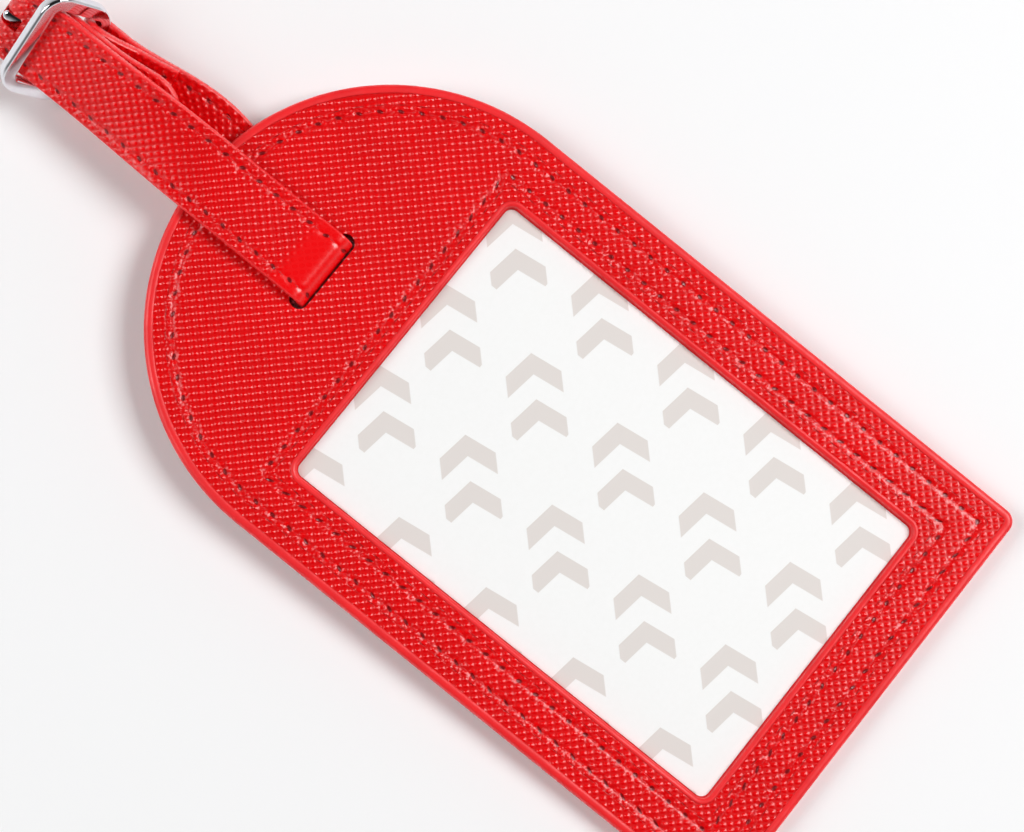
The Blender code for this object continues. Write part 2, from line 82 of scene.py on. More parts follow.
STRAP_WIDTH = 11.5 * MM
STRAP_THICKNESS = 1.45 * MM
STRAP_SEAM_INSET = 1.7 * MM
STRAP_SEAM = STRAP_WIDTH / 2 - STRAP_SEAM_INSET
SLOT_PLAY = 0.67 * MM
SLOT_PLAY_ACROSS = 0.75 * MM
SLOT_WIDTH = STRAP_THICKNESS + 2 * SLOT_PLAY
SLOT_LENGTH = STRAP_WIDTH + 2 * SLOT_PLAY_ACROSS
SLOT_BEND = 1.6 * MM
SLOT_STRETCH = 0.35 * MM
BRIDGE_CLEARANCE = 0.5 * MM
FRONT_RISE = 1.7 * MM
FRONT_RISE_PAST_FLEX = 12 * MM
REAR_DROP = 1.3 * MM
REAR_DROP_BEFORE_ARCH = 3 * MM
REAR_SETTLES_BEFORE_HEEL = 3 * MM
REAR_SHIFT = 3.7 * MM
SHIFT_RUN_IN = 1 * MM
LAYER_CLEARANCE = 0.2 * MM
BEND_RADIUS = 1.6 * MM
FOLD_BACK = 13 * MM
FOLD_BACK_GAP = 0.05 * MM
FOLD_BACK_RISE = 7 * MM
TAIL_SHIFT = 1.3 * MM
TAIL_DROP = 0.35 * MM
TAIL_BEHIND_HEEL = 17.3 * MM
TAIL_STRAIGHT_BEFORE_HEEL = 4 * MM
TAIL_LEVEL_PAST_HEEL = 1.5 * MM
HOLE_SPACING = 8 * MM
HOLE_WIDTH = 2.1 * MM
SPARE_HOLES = 2
LOOP_ROLL = math.radians(32)
ROLL_STARTS_PAST_TURN = 8 * MM
ROLL_ENDS_BEFORE_HEEL = 1.5 * MM
LEG_STEP = 0.5 * MM
ROUTE_STEP = 0.4 * MM

HEEL_BAR = 1.6 * MM
FRAME_THICKNESS = 1.7 * MM
FRAME_SIDE = 2.3 * MM
FRONT_BAR = 2.3 * MM
FRAME_TILT = math.radians(50.4)
FRAME_CORNER = 3.6 * MM
FRAME_PLAY = 0.5 * MM
FRAME_CHAMFER = 0.45 * MM
PRONG_WIDTH = 1.5 * MM
PRONG_THICKNESS = 1 * MM
PRONG_LENGTH = 12.6 * MM
PRONG_RISE = math.radians(19)
PRONG_EYE_WALL = 0.7 * MM
PRONG_CLEARANCE = 0.45 * MM
FOLD_CLEARANCE = 0.3 * MM
EYE_CLEARANCE = 0.25 * MM
BAR_CLEARANCE = 0.2 * MM
SLOT_BELOW_ARCH = 22.4 * MM
FLEX_PAST_ARCH = 4.5 * MM
HEEL_PAST_ARCH = 23.5 * MM

TAG_END = TAG_LENGTH / 2
ARCH_RADIUS = TAG_WIDTH / 2
WINDOW_LOW = WINDOW_BORDER - TAG_END
SLOT_Y = TAG_END - SLOT_BELOW_ARCH
TURN_END_Y = SLOT_Y + SLOT_BEND
HEEL_Y = TAG_END + HEEL_PAST_ARCH
FLEX_Y = TAG_END + FLEX_PAST_ARCH
FRONT_LEG_AT_SLOT = TAG_THICKNESS + BRIDGE_CLEARANCE + STRAP_THICKNESS / 2
REAR_LEG_AT_SLOT = -BRIDGE_CLEARANCE - STRAP_THICKNESS / 2
FRONT_LEG_AT_HEEL = FRONT_LEG_AT_SLOT + FRONT_RISE
HEEL_CORE = max(
    math.hypot(HEEL_BAR / 2, FRAME_THICKNESS / 2 - FRAME_CHAMFER),
    math.hypot(HEEL_BAR / 2 - FRAME_CHAMFER, FRAME_THICKNESS / 2),
)
FOLD_RADIUS = HEEL_CORE + FOLD_CLEARANCE + STRAP_THICKNESS / 2
TAIL_OVER_HEEL = FOLD_RADIUS + STRAP_THICKNESS + LAYER_CLEARANCE
FRONT_OVER_HEEL = TAIL_OVER_HEEL + STRAP_THICKNESS + LAYER_CLEARANCE
HEEL_Z = FRONT_LEG_AT_HEEL - FRONT_OVER_HEEL
FRONT_BAR_OVER_HEEL = FRONT_OVER_HEEL + STRAP_THICKNESS / 2 + BAR_CLEARANCE + FRONT_BAR / 2
FRAME_REACH = FRONT_BAR_OVER_HEEL / math.sin(FRAME_TILT)
EYE_INNER = HEEL_CORE + EYE_CLEARANCE
EYE_OUTER = EYE_INNER + PRONG_EYE_WALL
ARM_OFFSET = EYE_OUTER - PRONG_THICKNESS / 2
BEND_Y = HEEL_Y + PRONG_LENGTH * math.cos(PRONG_RISE) - BEND_RADIUS - STRAP_THICKNESS / 2
ROLL_START = TURN_END_Y + ROLL_STARTS_PAST_TURN
ROLL_END = HEEL_Y - ROLL_ENDS_BEFORE_HEEL
DROP_END_Y = TAG_END - REAR_DROP_BEFORE_ARCH
SETTLE_Y = HEEL_Y - REAR_SETTLES_BEFORE_HEEL

# ---------------- mesh helpers

WELD = 0.0005 * MM
CREASE = math.radians(40)
CUT_CREASE = math.radians(50)


def smooth_step(value, start, end):
    """0 before start, 1 after end, and level at both."""
    t = np.clip((np.asarray(value, float) - start) / (end - start), 0, 1)
    return t * t * (3 - 2 * t)


def grid_faces(rows, columns, close_rows, close_columns):
    """Vertex indices of the quads of a grid, wrapping where it closes."""
    i, j = np.meshgrid(
        np.arange(rows if close_rows else rows - 1),
        np.arange(columns if close_columns else columns - 1),
        indexing="ij",
    )
    i, j = i.ravel(), j.ravel()
    i2, j2 = (i + 1) % rows, (j + 1) % columns
    quads = np.stack([i * columns + j, i * columns + j2, i2 * columns + j2, i2 * columns + j], axis=1)
    return quads, (i, j)


def surface(name, points, close_rows=False, close_columns=False, uv=None, values=None, caps=False):
    """A mesh object over a grid of points. uv has one entry per grid corner, counted past the wrap."""
    rows, columns = points.shape[:2]
    quads, (i, j) = grid_faces(rows, columns, close_rows, close_columns)
    faces = quads.tolist()
    if caps:
        faces.append(list(range(columns))[::-1])
        faces.append(list(range((rows - 1) * columns, rows * columns)))
    mesh = bpy.data.meshes.new(name)
    mesh.from_pydata(points.reshape(-1, 3).tolist(), [], faces)
    if uv is not None:
        corner = np.stack([uv[i, j], uv[i, j + 1], uv[i + 1, j + 1], uv[i + 1, j]], axis=1).reshape(-1, 2)
        flat = np.zeros((len(mesh.loops), 2), np.float32)
        flat[: len(corner)] = corner
        mesh.uv_layers.new(name="flow").data.foreach_set("uv", flat.ravel())
    for label, value in (values or {}).items():
        attribute = mesh.attributes.new(label, "FLOAT", "POINT")
        spread = np.broadcast_to(value, (rows, columns)).astype(np.float32)
        attribute.data.foreach_set("value", spread.ravel())
    return finish_mesh(name, mesh)


def add_object(name, data):
    made = bpy.data.objects.new(name, data)
    bpy.context.scene.collection.objects.link(made)
    return made


def finish_mesh(name, mesh):
    """Welds doubles, turns the faces outwards, shades the mesh smooth and makes its object."""
    work = bmesh.new()
    work.from_mesh(mesh)
    bmesh.ops.remove_doubles(work, verts=work.verts, dist=WELD)
    bmesh.ops.recalc_face_normals(work, faces=work.faces)
    work.to_mesh(mesh)
    work.free()
    mesh.shade_smooth()
    return add_object(name, mesh)


def cut_away(piece, *cutters):
    """Subtracts closed cutters from a piece for good, and removes them."""
    for cutter in cutters:
        modifier = piece.modifiers.new("cut", "BOOLEAN")
        modifier.object = cutter
    bpy.context.view_layer.update()
    evaluated = piece.evaluated_get(bpy.context.evaluated_depsgraph_get())
    cut = bpy.data.meshes.new_from_object(evaluated)
    piece.modifiers.clear()
    piece.data = cut
    cut.shade_smooth()
    cut.set_sharp_from_angle(angle=CUT_CREASE)
    for cutter in cutters:
        bpy.data.objects.remove(cutter, do_unlink=True)


def arc_length(path, closed=False):
    """Running length at each point of a path, with the whole length last when it is closed."""
    loop = np.vstack([path, path[:1]]) if closed else path
    return np.concatenate([[0], np.cumsum(np.linalg.norm(np.diff(loop, axis=0), axis=1))])


def along(path, lengths, places):
    """Points of a path at given running lengths."""
    return np.stack([np.interp(places, lengths, path[:, k]) for k in range(path.shape[1])], axis=1)


def unit(vectors):
    return vectors / np.linalg.norm(vectors, axis=1)[:, None]


def raised(flat, height):
    """A flat outline as points at one height, or at a height each."""
    return np.column_stack([flat, np.broadcast_to(height, len(flat))])


def line(start, end, steps):
    """Points on a straight stretch without its last one."""
    t = np.arange(steps)[:, None] / steps
    return np.asarray(start) * (1 - t) + np.asarray(end) * t


def arc(centre, radius, start, end, steps):
    """Points on an arc without its last one, angles in degrees."""
    angle = np.radians(start + (end - start) * np.arange(steps) / steps)
    return np.asarray(centre) + radius * np.stack([np.cos(angle), np.sin(angle)], axis=1)


def rounded_box(half, low, high, corner, steps):
    """A rectangle with rounded corners in eight stretches, anticlockwise from its lower left.

    The steps are those of the bottom, a lower corner, a side, an upper corner and the top.
    """
    x, low_y, high_y = half - corner, low + corner, high - corner
    bottom, lower, side, upper, top = steps
    return np.vstack(
        [
            line((-x, low), (x, low), bottom),
            arc((x, low_y), corner, -90, 0, lower),
            line((half, low_y), (half, high_y), side),
            arc((x, high_y), corner, 0, 90, upper),
            line((x, high), (-x, high), top),
            arc((-x, high_y), corner, 90, 180, upper),
            line((-half, high_y), (-half, low_y), side),
            arc((-x, low_y), corner, 180, 270, lower),
        ]
    )


# ---------------- outlines

BOTTOM_STEPS, SIDE_STEPS, CORNER_STEPS, SHOULDER_STEPS, TOP_STEPS = 60, 80, 8, 18, 80
SHOULDER = 38  # degrees of the arch on each side that match the window's upper corners


def tag_loop(inset):
    """The tag's outline moved inwards, in eight stretches that match those of the window's outline."""
    corner = max(TAG_CORNER - inset, SEAM_CORNER)
    half = ARCH_RADIUS - inset
    x, low = half - corner, inset - TAG_END + corner
    bottom, arch_y = inset - TAG_END, TAG_END - ARCH_RADIUS
    return np.vstack(
        [
            line((-x, bottom), (x, bottom), BOTTOM_STEPS),
            arc((x, low), corner, -90, 0, CORNER_STEPS),
            line((half, low), (half, arch_y), SIDE_STEPS),
            arc((0, arch_y), half, 0, SHOULDER, SHOULDER_STEPS),
            arc((0, arch_y), half, SHOULDER, 180 - SHOULDER, TOP_STEPS),
            arc((0, arch_y), half, 180 - SHOULDER, 180, SHOULDER_STEPS),
            line((-half, arch_y), (-half, low), SIDE_STEPS),
            arc((-x, low), corner, 180, 270, CORNER_STEPS),
        ]
    )


def window_loop(grow):
    """The window's outline moved outwards. Moved inwards by half its width it closes to a line."""
    half = WINDOW_WIDTH / 2 + grow
    corner = min(max(WINDOW_CORNER + grow, SEAM_CORNER) if grow < 2 * MM else SEAM_CORNER, half)
    low, high = WINDOW_LOW - grow, WINDOW_LOW + WINDOW_LENGTH + grow
    steps = (BOTTOM_STEPS, CORNER_STEPS, SIDE_STEPS, SHOULDER_STEPS, TOP_STEPS)
    return rounded_box(half, low, high, corner, steps)


def stitch_count(length):
    return max(1, round(length / STITCH))


def stitch_places(loop):
    """The running stitch number at each column of a closed seam loop, and one more past the wrap."""
    lengths = arc_length(loop, True)
    return lengths / lengths[-1] * stitch_count(lengths[-1])


# ---------------- tag panels

SEAM_DEPTH = 0.1 * MM
SEAM_SPREAD = 0.3 * MM
NO_SEAM = 9  # millimetres from a seam, where no needle hole shows
SEAM_SIDE = 1.3 * MM
SEAM_ROWS = np.array((-0.9, -0.6, -0.42, -0.28, -0.14, 0, 0.14, 0.28, 0.42, 0.6, 0.9)) * MM


def seam_dip(offset):
    """Leather pulled down beside the thread: a bell curve across the seam."""
    return SEAM_DEPTH * np.exp(-((offset / SEAM_SPREAD) ** 2))


def panel(name, face, inward, has_window):
    """A leather panel as a closed skin: rows from the window's edge to the outline, then back underneath.

    Each row is an outline moved by its distance, with its height below the face. Between the two seams the
    rows are blended from the outer one of the window to the inner one of the tag.
    """
    rows = []

    def add(kind, distance, depth=0, seam=NO_SEAM):
        rows.append((kind, distance, depth, seam))

    if has_window:
        add("window", WINDOW_PAINT, LEATHER)
        add("window", WINDOW_PAINT, 0.2 * MM)
        add("window", WINDOW_PAINT + 0.08 * MM, 0.06 * MM)
        add("window", WINDOW_PAINT + 0.25 * MM)
        add("window", 1.2 * MM)
    else:
        for share in (1, 0.75, 0.5, 0.25, 0):
            add("window", -WINDOW_WIDTH / 2 * share)
    for offset in SEAM_ROWS:
        add("window", WINDOW_SEAM_INSET + offset, seam_dip(offset), offset / MM)
    for share in np.linspace(0, 1, 14):
        add("between", share)
    for offset in SEAM_ROWS[::-1]:
        add("tag", SEAM_INSET + offset, seam_dip(offset), offset / MM)
    for distance in (2.4, 1.6, 1.0, 0.7):
        add("tag", distance * MM)
    add("tag", EDGE_PAINT + 0.08 * MM, 0.05 * MM)
    add("tag", EDGE_PAINT, 0.2 * MM)
    add("tag", EDGE_PAINT, LEATHER)
    if not has_window:
        for share in np.linspace(1, 0, 5):
            add("between", share, LEATHER)
        for share in (0.5, 1):
            add("window", -WINDOW_WIDTH / 2 * share, LEATHER)

    window_count = stitch_places(window_loop(WINDOW_SEAM_INSET))
    tag_count = stitch_places(tag_loop(SEAM_INSET))
    first = window_loop(WINDOW_SEAM_INSET + SEAM_SIDE)
    last = tag_loop(SEAM_INSET + SEAM_SIDE)
    points, uv = [], []
    for kind, distance, depth, seam in rows:
        if kind == "window":
            flat, count = window_loop(distance), window_count
        elif kind == "tag":
            flat, count = tag_loop(distance), tag_count
        else:
            flat, count = first * (1 - distance) + last * distance, tag_count
        points.append(raised(flat, face + inward * depth))
        uv.append(np.column_stack([count, np.full(len(count), seam)]))
    uv.append(uv[0])
    made = surface(name, np.array(points), has_window, True, np.array(uv))
    cut_away(made, slot_cutter())
    return made


def slot_cutter():
    """The strap's slot as a stadium-shaped block, a little pulled out towards the strap."""
    radius, straight = SLOT_WIDTH / 2, SLOT_LENGTH / 2 - SLOT_WIDTH / 2
    y = SLOT_Y + SLOT_STRETCH
    right, left = arc((straight, y), radius, -90, 90, 16), arc((-straight, y), radius, 90, 270, 16)
    flat = np.vstack([right, left])
    past = 2 * MM
    heights = (-past, TAG_THICKNESS + past)
    points = np.array([raised(flat, z) for z in heights])
    return surface("slot_cutter", points, False, True, caps=True)


def bead(name, loop_of, section, wave):
    """Edge paint: a closed section carried round an outline.

    The section's points are (distance inwards, height, share of the brush's unevenness).
    """
    base = loop_of(0)
    lengths = arc_length(base, True)[:-1] / MM
    ripples = np.sin(lengths * 0.37) + 0.6 * np.sin(lengths * 0.93 + 1) + 0.5 * np.sin(lengths * 1.9)
    uneven = wave * ripples
    points = [raised(loop_of(distance), height + uneven * give) for distance, height, give in section]
    return surface(name, np.array(points), True, True)


def outer_bead():
    """The painted outer edge: lips over both faces and a rounded side."""
    top = TAG_THICKNESS
    lip = [(1.35, 0.005, 0), (1.2, 0.05, 1), (0.95, 0.09, 1), (0.65, 0.09, 1)]
    lip += [(0.38, 0.02, 1), (0.16, -0.16, 0.5)]
    upper = [(d * MM, top + z * MM, g) for d, z, g in lip]
    lower = [(d * MM, -min(z, 0) * MM, 0) for d, z, _ in lip[::-1]]
    side = [(0.03 * MM, top - 0.5 * MM, 0), (0.0, top / 2, 0), (0.03 * MM, 0.5 * MM, 0)]
    inner = [(0.42 * MM, 0.1 * MM, 0), (0.42 * MM, top - 0.03 * MM, 0)]
    return bead("painted_outer_edge", tag_loop, upper + side + lower + inner, 0.012 * MM)


WINDOW_FOOT = 0.21 * MM


def window_bead():
    """The painted window edge: a lip over the face, a wall, and a small foot of paint at the liner."""
    top = TAG_THICKNESS
    lip = [(0.85, 0.005, 0), (0.7, 0.06, 1), (0.45, 0.07, 1)]
    lip += [(0.2, 0.0, 1), (0.06, -0.15, 0.5), (0.0, -0.4, 0)]
    section = [(d * MM, top + z * MM, g) for d, z, g in lip]
    foot = -WINDOW_FOOT
    section += [(0.0, LINER_Z + 0.15 * MM, 0), (foot, LINER_Z - 0.02 * MM, 0), (foot, WALL_LOW, 0)]
    section += [(0.3 * MM, WALL_LOW, 0), (0.37 * MM, top - 0.1 * MM, 0)]
    return bead("painted_window_edge", window_loop, section, 0.01 * MM)


# ---------------- stitching

THREAD_SIDES = 8
THREAD_STEPS = 9
STITCH_DIP = 0.5 * MM
STITCH_SLANT = 0.24 * MM
THREAD_SINK = SEAM_DEPTH + 0.13 * MM
STRAP_THREAD_SINK = 0.22 * MM


def stitches(name, path, normals, across, closed, skip=()):
    """Sewing thread between the needle holes: each stitch dips at both ends and lies a little aslant."""
    lengths = arc_length(path, closed)
    count = stitch_count(lengths[-1])
    if closed:
        path, normals, across = (np.vstack([a, a[:1]]) for a in (path, normals, across))
    kept = np.array([k for k in range(count) if k not in skip])
    t = np.linspace(0, 1, THREAD_STEPS)
    places = (kept[:, None] + 0.5 + t[None, :]) * lengths[-1] / count
    places = places % lengths[-1] if closed else np.clip(places, 0, lengths[-1])
    flat = places.ravel()
    centre, up, side = (along(a, lengths, flat) for a in (path, normals, across))
    swell = np.tile(np.sin(np.pi * t) ** 0.45, len(kept))
    slant = np.tile(t - 0.5, len(kept)) * STITCH_SLANT
    centre = centre + side * slant[:, None] - up * ((1 - swell) * STITCH_DIP)[:, None]
    angle = np.arange(THREAD_SIDES) / THREAD_SIDES * 2 * np.pi
    radius = THREAD_RADIUS * (0.45 + 0.55 * swell)[:, None, None]
    ring = side[:, None] * np.cos(angle)[None, :, None] + up[:, None] * np.sin(angle)[None, :, None]
    points = centre[:, None] + ring * radius
    quads, _ = grid_faces(len(t), THREAD_SIDES, False, True)
    size = len(t) * THREAD_SIDES
    faces = (quads[None] + (np.arange(len(kept)) * size)[:, None, None]).reshape(-1, 4).tolist()
    for k in range(len(kept)):
        faces.append(list(range(k * size, k * size + THREAD_SIDES))[::-1])
        faces.append(list(range((k + 1) * size - THREAD_SIDES, (k + 1) * size)))
    mesh = bpy.data.meshes.new(name)
    mesh.from_pydata(points.reshape(-1, 3).tolist(), [], faces)
    return finish_mesh(name, mesh)


def flat_seam(name, loop, height, up):
    """A stitched row round a flat outline."""
    path = raised(loop, height)
    forward = unit(np.roll(path, -1, axis=0) - np.roll(path, 1, axis=0))
    normals = np.tile((0.0, 0.0, up), (len(path), 1))
    return stitches(name, path, normals, np.cross(normals, forward), True)


# ---------------- strap

EDGE_ROUND = 0.32 * MM
SMOOTH_RIM = 0.38 * MM
PRESSED_WITHIN = 5.5 * MM
PRESSED_ENDS = 8.5 * MM
SEAM_STOPS_BEFORE_TIP = 2.5 * MM
TURN_STEPS = 24
SHORTEST_STEP = 0.02 * MM


def front_height(y):
    return FRONT_LEG_AT_SLOT + FRONT_RISE * smooth_step(y, TURN_END_Y, FLEX_Y + FRONT_RISE_PAST_FLEX)


def rear_height(y):
    low = REAR_LEG_AT_SLOT - REAR_DROP
    down = REAR_LEG_AT_SLOT - REAR_DROP * smooth_step(y, TURN_END_Y, DROP_END_Y)
    return down + (HEEL_Z - FOLD_RADIUS - low) * smooth_step(y, DROP_END_Y, SETTLE_Y)


def rear_shift(y):
    away = smooth_step(y, TURN_END_Y + SHIFT_RUN_IN, TAG_END)
    return REAR_SHIFT * away * (1 - smooth_step(y, TAG_END + SHIFT_RUN_IN, SETTLE_Y))


def tail_height(y):
    under_leg = front_height(y) - (FRONT_OVER_HEEL - TAIL_OVER_HEEL)
    under_leg -= TAIL_DROP * (1 - smooth_step(y, HEEL_Y - TAIL_BEHIND_HEEL, HEEL_Y))
    bend_low = FRONT_LEG_AT_HEEL - 2 * BEND_RADIUS
    return under_leg + (bend_low - under_leg) * smooth_step(y, HEEL_Y + TAIL_LEVEL_PAST_HEEL, BEND_Y)


def tail_shift(y):
    straight = HEEL_Y - TAIL_STRAIGHT_BEFORE_HEEL
    return TAIL_SHIFT * (1 - smooth_step(y, HEEL_Y - TAIL_BEHIND_HEEL, straight))


def fold_back_height(y):
    on_leg = rear_height(y) + STRAP_THICKNESS + FOLD_BACK_GAP
    return on_leg + (HEEL_Z + FOLD_RADIUS - on_leg) * smooth_step(y, HEEL_Y - FOLD_BACK_RISE, HEEL_Y)


def roll_angle(y):
    return LOOP_ROLL * smooth_step(y, ROLL_START, ROLL_END)


def rolled(points):
    """Level (side, y, height) points, turned about the front leg's middle line by the roll at their y."""
    side, y, height = points.T
    angle = roll_angle(y)
    middle = front_height(np.minimum(y, HEEL_Y))
    rise = height - middle
    x = side * np.cos(angle) - rise * np.sin(angle)
    z = middle + side * np.sin(angle) + rise * np.cos(angle)
    return np.stack([x, y, z], axis=1)


def leg(start, end, height, shift):
    y = np.linspace(start, end, max(3, int(abs(end - start) / LEG_STEP)))
    return np.stack([shift(y), y, height(y)], axis=1)


def turn(centre_y, centre_z, radius, start, end):
    flat = arc((centre_y, centre_z), radius, start, end, TURN_STEPS)[1:]
    return np.column_stack([np.zeros(len(flat)), flat])


def strap_route():
    """The strap's middle line: fold-back, heel fold, rear leg, slot turn, front leg, bend and tail."""
    tip = HEEL_Y - TAIL_BEHIND_HEEL
    pieces = [
        leg(HEEL_Y - FOLD_BACK, HEEL_Y, fold_back_height, rear_shift),
        turn(HEEL_Y, HEEL_Z, FOLD_RADIUS, 90, -90),
        leg(HEEL_Y, TURN_END_Y, rear_height, rear_shift),
        turn(TURN_END_Y, REAR_LEG_AT_SLOT + SLOT_BEND, SLOT_BEND, -90, -180),
        turn(TURN_END_Y, FRONT_LEG_AT_SLOT - SLOT_BEND, SLOT_BEND, 180, 90),
        leg(TURN_END_Y, BEND_Y, front_height, np.zeros_like),
        turn(BEND_Y, FRONT_LEG_AT_HEEL - BEND_RADIUS, BEND_RADIUS, 90, -90),
        leg(BEND_Y, tip, tail_height, tail_shift),
    ]
    raw = np.vstack(pieces)
    lengths = arc_length(raw)
    keep = np.concatenate([[True], np.diff(lengths) > SHORTEST_STEP])
    return along(raw[keep], lengths[keep], np.arange(0, lengths[-1], ROUTE_STEP))


def strap_frame():
    """Middle line, width direction, outward normal and running length of the whole strap."""
    route = strap_route()
    centres = rolled(route)
    forward = unit(np.gradient(centres, axis=0))
    angle = roll_angle(route[:, 1])
    across = np.stack([np.cos(angle), np.zeros_like(angle), np.sin(angle)], axis=1)
    across = unit(across - forward * np.sum(across * forward, axis=1)[:, None])
    return route, centres, across, np.cross(across, forward), arc_length(centres)


def strap_section():
    """Half of the section, from the middle of the upper face round the edge: (across, height, edge share).

    The face dips at the seam and is slightly crowned. The painted edge is a flattened half round.
    """
    half, thick = STRAP_WIDTH / 2, STRAP_THICKNESS / 2
    middle = np.linspace(0, STRAP_SEAM + SEAM_ROWS[0], 7)[:-1]
    flat = np.concatenate([middle, STRAP_SEAM + SEAM_ROWS, [half - SMOOTH_RIM]])
    top = thick - seam_dip(flat - STRAP_SEAM) * 0.9
    edge = np.radians((90, 72, 54, 36, 18, 0))
    edge_x = half - EDGE_ROUND + EDGE_ROUND * np.cos(edge)
    edge_z = thick * np.sin(edge) ** 0.8
    x = np.concatenate([flat, edge_x])
    z = np.concatenate([top, edge_z])
    paint = np.concatenate([np.zeros(len(flat)), (0.3, 1, 1, 1, 1, 1)])
    return x, z, paint


def tip_share(lengths, least):
    """The strap's width as a share of its full width: 1, then a half round at the tail's tip."""
    full = STRAP_WIDTH / 2
    short = np.clip(full - (lengths[-1] - lengths), 0, None)
    return np.sqrt(np.clip(1 - (short / full) ** 2, least, None))


def make_strap(route, centres, across, normals, lengths):
    """The strap's leather as one closed skin along its middle line, with a half-round tail tip."""
    x, z, paint = strap_section()
    x = np.concatenate([x, x[-2::-1], -x[1:], -x[-2:0:-1]])
    z = np.concatenate([z, -z[-2::-1], -z[1:], z[-2:0:-1]])
    paint = np.concatenate([paint, paint[-2::-1], paint[1:], paint[-2:0:-1]])
    narrow = tip_share(lengths, 0.12**2)[:, None]
    points = (
        centres[:, None]
        + across[:, None] * (x[None, :] * narrow)[..., None]
        + normals[:, None] * z[None, :, None]
    )
    around = np.concatenate([x, x[:1]])
    uv = np.stack(np.broadcast_arrays(lengths[:, None], around[None, :]), axis=2)
    from_slot = np.abs(route[:, 1] - SLOT_Y) + np.abs(route[:, 2] - TAG_THICKNESS / 2)
    run = np.abs(lengths - lengths[np.argmin(from_slot)])
    near_slot = 1 - smooth_step(run, PRESSED_WITHIN, PRESSED_ENDS)
    values = {"edge_paint": paint[None, :], "pressed_flat": near_slot[:, None]}
    made = surface("strap_leather", points, False, True, uv, values, caps=True)
    spares = [spare_hole(index) for index in range(SPARE_HOLES)]
    cut_away(made, prong_passage(), hole_in_use(), eye_opening(), *spares)
    return made


def heel_matrix():
    """From the buckle's own axes (across, along, up at the heel bar) to the tag's."""
    place = rolled(np.array([[0, HEEL_Y, HEEL_Z]]))[0]
    return Matrix.Translation(place) @ Matrix.Rotation(-LOOP_ROLL, 4, "Y")


def cutter(name, work):
    """The object of a finished bmesh, which is freed."""
    mesh = bpy.data.meshes.new(name)
    work.to_mesh(mesh)
    work.free()
    return add_object(name, mesh)


def block(name, size, place, matrix):
    """A cutter with straight sides."""
    work = bmesh.new()
    matrix = matrix @ Matrix.Translation(place) @ Matrix.Diagonal((*size, 1))
    bmesh.ops.create_cube(work, size=1, matrix=matrix)
    return cutter(name, work)


def prong_passage():
    """The punched way of the prong through the tail and out of the bend: a slim oblong along its arm."""
    start, end = 2.2 * MM, PRONG_LENGTH + 4 * MM
    height = PRONG_THICKNESS + 2 * PRONG_CLEARANCE
    matrix = heel_matrix() @ Matrix.Rotation(PRONG_RISE, 4, "X")
    return block("passage", (HOLE_WIDTH, end - start, height), (0, (start + end) / 2, ARM_OFFSET), matrix)


def hole_in_use():
    """The punched hole on the top of the bend, drawn long by the pull of the prong."""
    y = PRONG_LENGTH * math.cos(PRONG_RISE) - 2.1 * MM
    size = (HOLE_WIDTH, 2.7 * MM, 2 * STRAP_THICKNESS)
    return block("hole_in_use", size, (0, y, FRONT_OVER_HEEL), heel_matrix())


def eye_opening():
    """The opening in the fold, through which the prong's eye takes hold of the heel bar."""
    reach = FOLD_RADIUS + STRAP_THICKNESS
    size = (PRONG_WIDTH + 2 * PRONG_CLEARANCE, reach + 5 * MM, 2 * reach)
    return block("eye_opening", size, (0, reach / 2 - 1 * MM, 0), heel_matrix())


def spare_hole(index):
    """A round punch through the tail, counted from the hole in use."""
    y = HEEL_Y + 3 * MM - (index + 1) * HOLE_SPACING
    level = np.array([[float(tail_shift(y)), y, float(tail_height(y))]])
    matrix = Matrix.Translation(rolled(level)[0]) @ Matrix.Rotation(-float(roll_angle(y)), 4, "Y")
    work = bmesh.new()
    bmesh.ops.create_cone(
        work, cap_ends=True, segments=24, radius1=HOLE_WIDTH / 2, radius2=HOLE_WIDTH / 2,
        depth=1.3 * STRAP_THICKNESS, matrix=matrix,
    )
    return cutter("punch", work)


def strap_seams(centres, across, normals, lengths):
    """The strap's two stitched rows on both faces."""
    made = []
    usable = lengths < lengths[-1] - SEAM_STOPS_BEFORE_TIP
    raise_by = STRAP_THICKNESS / 2 - STRAP_THREAD_SINK
    row = STRAP_SEAM * tip_share(lengths, 0.01)
    for side_name, side in (("right", 1), ("left", -1)):
        for face_name, face in (("outer", 1), ("inner", -1)):
            path = centres + across * (side * row)[:, None] + normals * face * raise_by
            name = f"strap_stitches_{side_name}_{face_name}"
            up = (normals * face)[usable]
            made.append(stitches(name, path[usable], up, across[usable], False, skip=(0,)))
    return made


# ---------------- buckle

ARM_SETTLES = 3 * MM
PRONG_STEPS = 150
PRONG_TAPER = 0.9 * MM
PRONG_BLUR = 8  # steps on each side over which the eye's thickness passes into the arm's


def buckle_loop(share):
    """A loop in the frame's plane, from the inner outline at 0 to the outer outline at 1."""
    half, heel, bar = STRAP_WIDTH / 2 + FRAME_PLAY, HEEL_BAR / 2, FRONT_BAR / 2
    steps = (24, 14, 14, 14, 24)
    inner = rounded_box(half, heel, FRAME_REACH - bar, FRAME_CORNER / 5, steps)
    outer = rounded_box(half + FRAME_SIDE, -heel, FRAME_REACH + bar, FRAME_CORNER, steps)
    return inner * (1 - share) + outer * share


